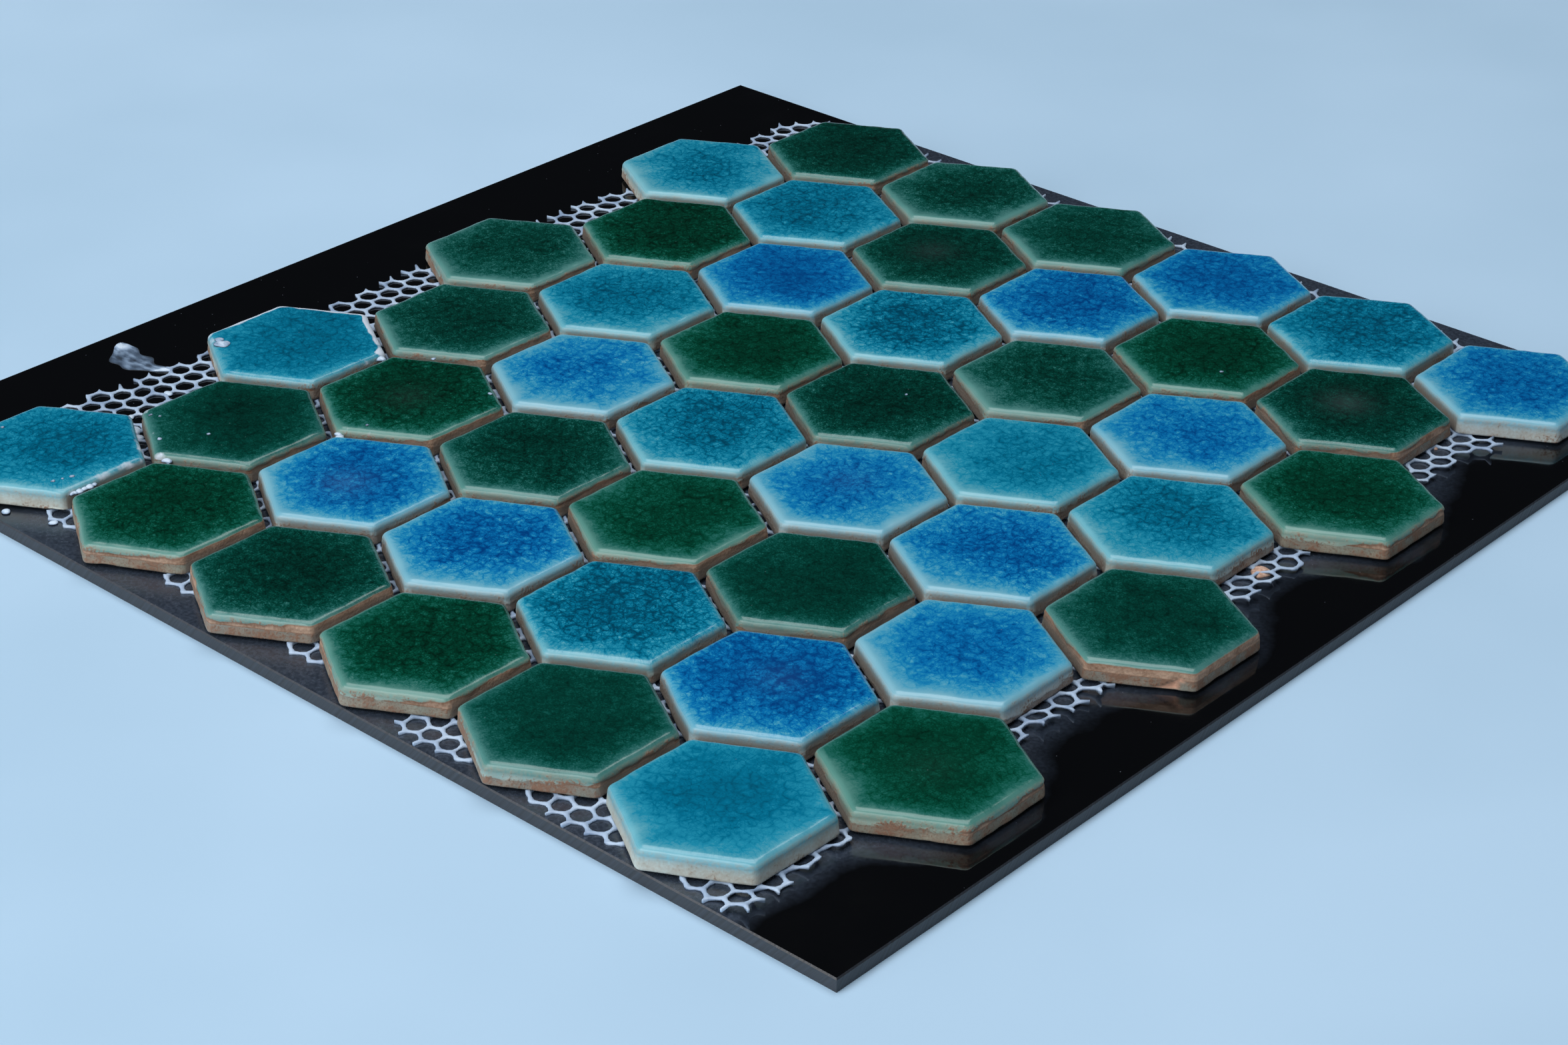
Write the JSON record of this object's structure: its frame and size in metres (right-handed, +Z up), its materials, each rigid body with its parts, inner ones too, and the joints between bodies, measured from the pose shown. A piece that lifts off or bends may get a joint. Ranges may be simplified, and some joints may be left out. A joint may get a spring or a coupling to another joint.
{
  "type": "mosaic wall tile sheet",
  "caption": "Sheet of crackle-glazed hexagon mosaic tiles in green, teal and blue, held on a white plastic net and bonded to a square black backing board.",
  "frame": {"origin": "centre of the backing board's back face", "axes": "+X along the rows of tiles, +Y across the rows towards row h, +Z up through the glazed faces"},
  "size_m": [0.304, 0.3051, 0.0086],
  "materials": {
    "green_glaze": "gloss crackle glaze",
    "teal_glaze": "gloss crackle glaze",
    "blue_glaze": "gloss crackle glaze",
    "net_plastic": "moulded, semi-matt",
    "board_plastic": "polished face, sawn edges"
  },
  "bodies": {
    "root": {"backing_board": "board_plastic", "backing_net": "net_plastic", "tile_a1": "teal_glaze", "tile_a2": "green_glaze", "tile_a3": "green_glaze", "tile_a4": "green_glaze", "tile_a5": "green_glaze", "tile_a6": "teal_glaze", "tile_b1": "green_glaze", "tile_b2": "blue_glaze", "tile_b3": "blue_glaze", "tile_b4": "teal_glaze", "tile_b5": "blue_glaze", "tile_b6": "green_glaze", "tile_c1": "teal_glaze", "tile_c2": "green_glaze", "tile_c3": "green_glaze", "tile_c4": "green_glaze", "tile_c5": "green_glaze", "tile_c6": "blue_glaze", "tile_d1": "green_glaze", "tile_d2": "blue_glaze", "tile_d3": "teal_glaze", "tile_d4": "blue_glaze", "tile_d5": "blue_glaze", "tile_d6": "green_glaze", "tile_e1": "green_glaze", "tile_e2": "teal_glaze", "tile_e3": "green_glaze", "tile_e4": "green_glaze", "tile_e5": "teal_glaze", "tile_e6": "teal_glaze", "tile_f1": "green_glaze", "tile_f2": "blue_glaze", "tile_f3": "teal_glaze", "tile_f4": "green_glaze", "tile_f5": "blue_glaze", "tile_f6": "green_glaze", "tile_g1": "teal_glaze", "tile_g2": "teal_glaze", "tile_g3": "green_glaze", "tile_g4": "blue_glaze", "tile_g5": "green_glaze", "tile_g6": "green_glaze", "tile_h1": "green_glaze", "tile_h2": "green_glaze", "tile_h3": "green_glaze", "tile_h4": "blue_glaze", "tile_h5": "teal_glaze", "tile_h6": "blue_glaze"}
  },
  "joints": []
}
